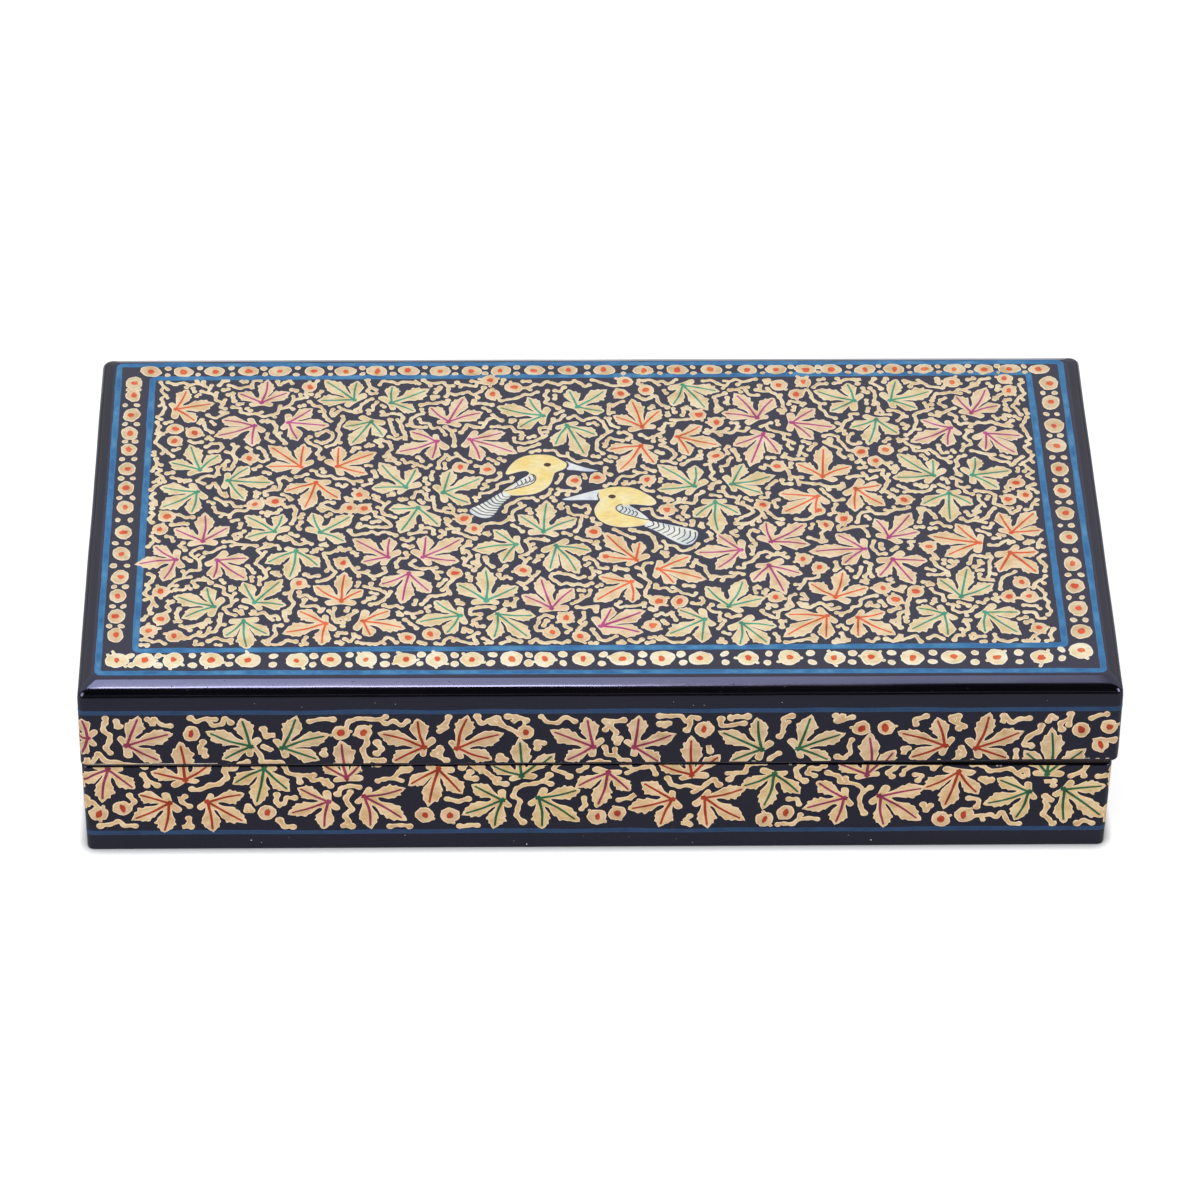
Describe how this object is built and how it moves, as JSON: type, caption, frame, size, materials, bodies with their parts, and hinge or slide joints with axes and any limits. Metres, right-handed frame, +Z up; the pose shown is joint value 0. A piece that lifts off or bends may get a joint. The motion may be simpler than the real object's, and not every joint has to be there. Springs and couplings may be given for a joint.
{
  "type": "lidded box",
  "caption": "Flat oblong papier mache box with a lift-off lid on an inner collar, lacquered dark and painted with leaf sprays, border flowers and two birds.",
  "frame": {"origin": "middle of the lid's outline, in the plane the box stands on", "axes": "+X along the length to the right, +Y to the back, +Z up"},
  "size_m": [0.2036, 0.1024, 0.044],
  "materials": {
    "board_wood": "sawn softwood",
    "collar_lacquer": "thin black lacquer on wood",
    "dark_lacquer": "gloss lacquer over pasted paper",
    "lining_paper": "satin lacquered lining paper",
    "nail_wire": "drawn wire"
  },
  "bodies": {
    "tray": {"base_floor_board": "board_wood", "base_front_wall": "board_wood", "base_back_wall": "board_wood", "base_left_wall": "board_wood", "base_right_wall": "board_wood", "collar_front_strip": "collar_lacquer", "collar_back_strip": "collar_lacquer", "collar_left_strip": "collar_lacquer", "collar_right_strip": "collar_lacquer", "base_side_paper": "dark_lacquer", "base_bottom_paper": "dark_lacquer", "base_floor_lining": "lining_paper", "base_corner_nails": "nail_wire", "base_floor_nails": "nail_wire"},
    "lid": {"lid_top_board": "board_wood", "lid_front_wall": "board_wood", "lid_back_wall": "board_wood", "lid_left_wall": "board_wood", "lid_right_wall": "board_wood", "lid_paper_skin": "dark_lacquer", "lid_top_lining": "lining_paper", "lid_corner_nails": "nail_wire", "lid_top_nails": "nail_wire"}
  },
  "joints": [
    {"name": "lid_lift", "type": "slide", "parent": "tray", "child": "lid", "axis": [0, 0, 1], "range_m": [0, 0.06]}
  ]
}
